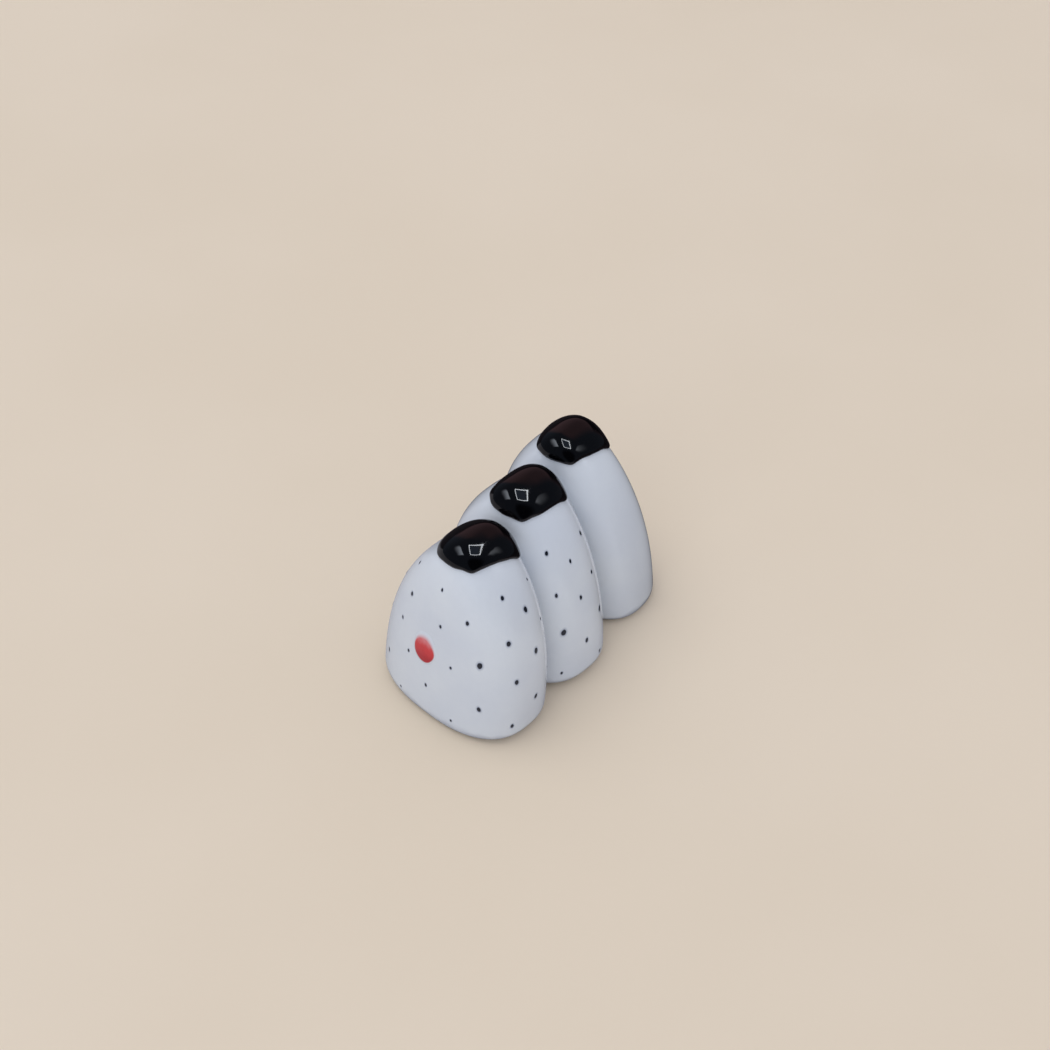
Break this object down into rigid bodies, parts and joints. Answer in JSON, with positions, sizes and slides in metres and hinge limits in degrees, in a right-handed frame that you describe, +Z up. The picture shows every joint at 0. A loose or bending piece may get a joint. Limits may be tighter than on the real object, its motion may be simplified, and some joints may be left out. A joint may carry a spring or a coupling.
{
  "type": "chopstick rest",
  "caption": "Glazed porcelain chopstick rest shaped as a row of rice balls with black caps; chopstick tips lie in the dips between the caps.",
  "frame": {"origin": "on the table, under the middle of the whole row's box", "axes": "+Z up; +Y along the row from the front ball to the plain back ball; +X across the row, to the right of a viewer who faces the front ball"},
  "size_m": [0.0238, 0.0398, 0.0277],
  "materials": {
    "white_glaze": "glossy, faintly bluish white glaze over white porcelain",
    "black_glaze": "thick glossy black glaze, faintly brown",
    "sesame_black": "glossy black dots under a thin clear glaze",
    "plum_red": "glossy red, paler towards its top",
    "bisque": "unglazed, matte and slightly rough"
  },
  "bodies": {
    "root": {"front_rice_ball": "white_glaze", "middle_rice_ball": "white_glaze", "back_rice_ball": "white_glaze", "front_nori_cap": "black_glaze", "middle_nori_cap": "black_glaze", "back_nori_cap": "black_glaze", "front_sesame_specks": "sesame_black", "middle_sesame_specks": "sesame_black", "plum_spot": "plum_red", "front_slip_seam": "white_glaze", "rear_slip_seam": "white_glaze", "front_foot": "bisque", "middle_foot": "bisque", "back_foot": "bisque"}
  },
  "joints": []
}
